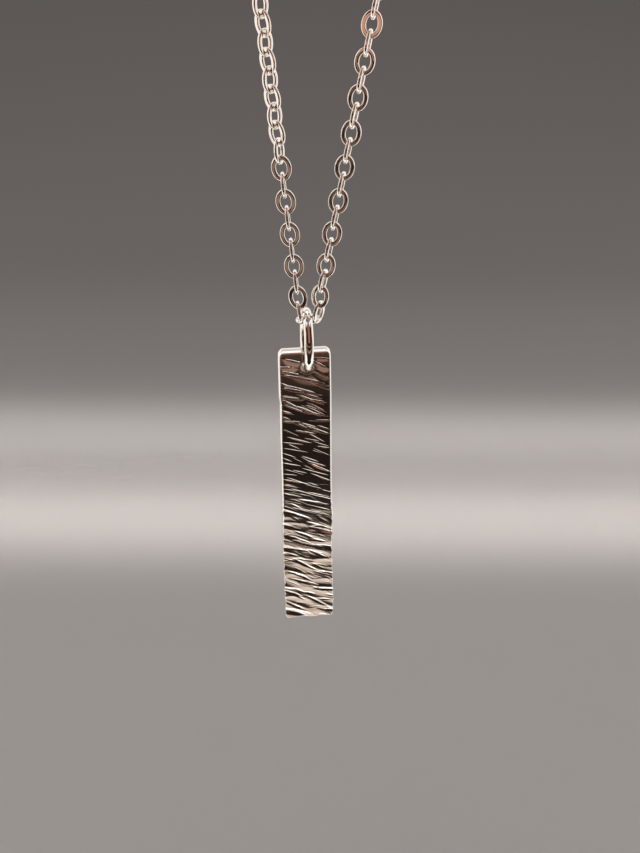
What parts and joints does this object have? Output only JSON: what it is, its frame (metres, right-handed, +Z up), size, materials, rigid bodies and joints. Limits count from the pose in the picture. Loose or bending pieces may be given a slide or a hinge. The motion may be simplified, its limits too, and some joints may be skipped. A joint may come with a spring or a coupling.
{
  "type": "bar pendant necklace",
  "caption": "Slim rectangular hammered silver bar, drilled near its top, hanging by a round jump ring on a fine cable chain loop with a round clasp.",
  "frame": {"origin": "where the worn loop rests on the neck: the underside of the clasp at the loop's highest point", "axes": "+Z up, +X to the right of a viewer who faces the bar's hammered side, +Y away from that viewer"},
  "size_m": [0.053, 0.0064, 0.2471],
  "materials": {
    "hammered_silver": "sterling silver, hammered in slanting grooves, tumble polished",
    "ring_silver": "sterling silver wire, polished",
    "chain_silver": "sterling silver flattened cable links, bright",
    "clasp_silver": "sterling silver, polished"
  },
  "bodies": {
    "necklace": {"chain": "chain_silver", "clasp": "clasp_silver"},
    "ring": {"jump_ring": "ring_silver"},
    "pendant": {"bar": "hammered_silver"}
  },
  "joints": [
    {"name": "ring_swing", "type": "hinge", "parent": "necklace", "child": "ring", "pos_m": [-0.00595, 0, -0.21078], "axis": [1, 0, 0], "range_deg": [-90, 90]},
    {"name": "bar_swing", "type": "hinge", "parent": "ring", "child": "pendant", "pos_m": [-0.00595, 0, -0.21528], "axis": [0, 1, 0], "range_deg": [-90, 90]}
  ]
}
